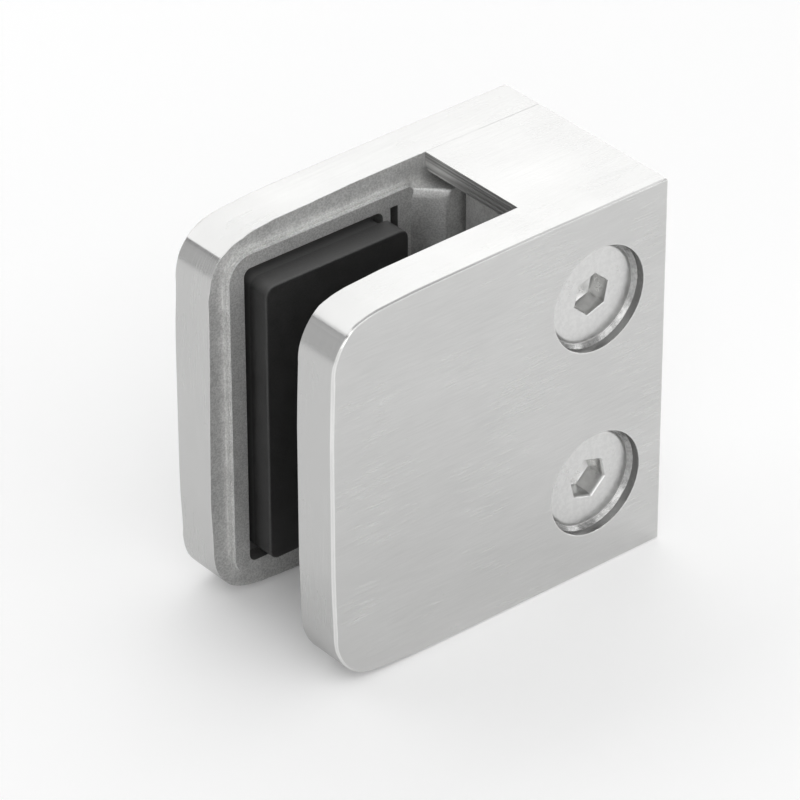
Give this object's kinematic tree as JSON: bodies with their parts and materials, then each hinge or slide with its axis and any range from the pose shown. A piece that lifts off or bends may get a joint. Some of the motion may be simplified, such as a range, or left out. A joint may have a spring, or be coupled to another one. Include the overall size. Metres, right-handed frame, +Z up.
{
  "type": "glass panel clamp",
  "caption": "Square glass panel clamp: cast body with a hollow bolt block, screwed-on cast cover, rubber pads, countersunk hex-socket screws, flat post face.",
  "frame": {"origin": "centre of the post hole on the post face, midway up the clamp", "axes": "+X out of the post face towards the post, -Y out of the front face with the screw heads, +Z up"},
  "size_m": [0.045, 0.026, 0.045],
  "materials": {
    "brushed_body": "satin, brushed along the plate, as-cast inside",
    "cast_cover": "brushed outside, fine as-cast grain inside",
    "pad_rubber": "matt black moulded rubber",
    "screw_steel": "bright turned and cold-headed"
  },
  "bodies": {
    "root": {"clamp_body": "brushed_body", "clamp_cover": "cast_cover", "front_pad": "pad_rubber", "rear_pad": "pad_rubber", "upper_screw": "screw_steel", "lower_screw": "screw_steel"}
  },
  "joints": []
}
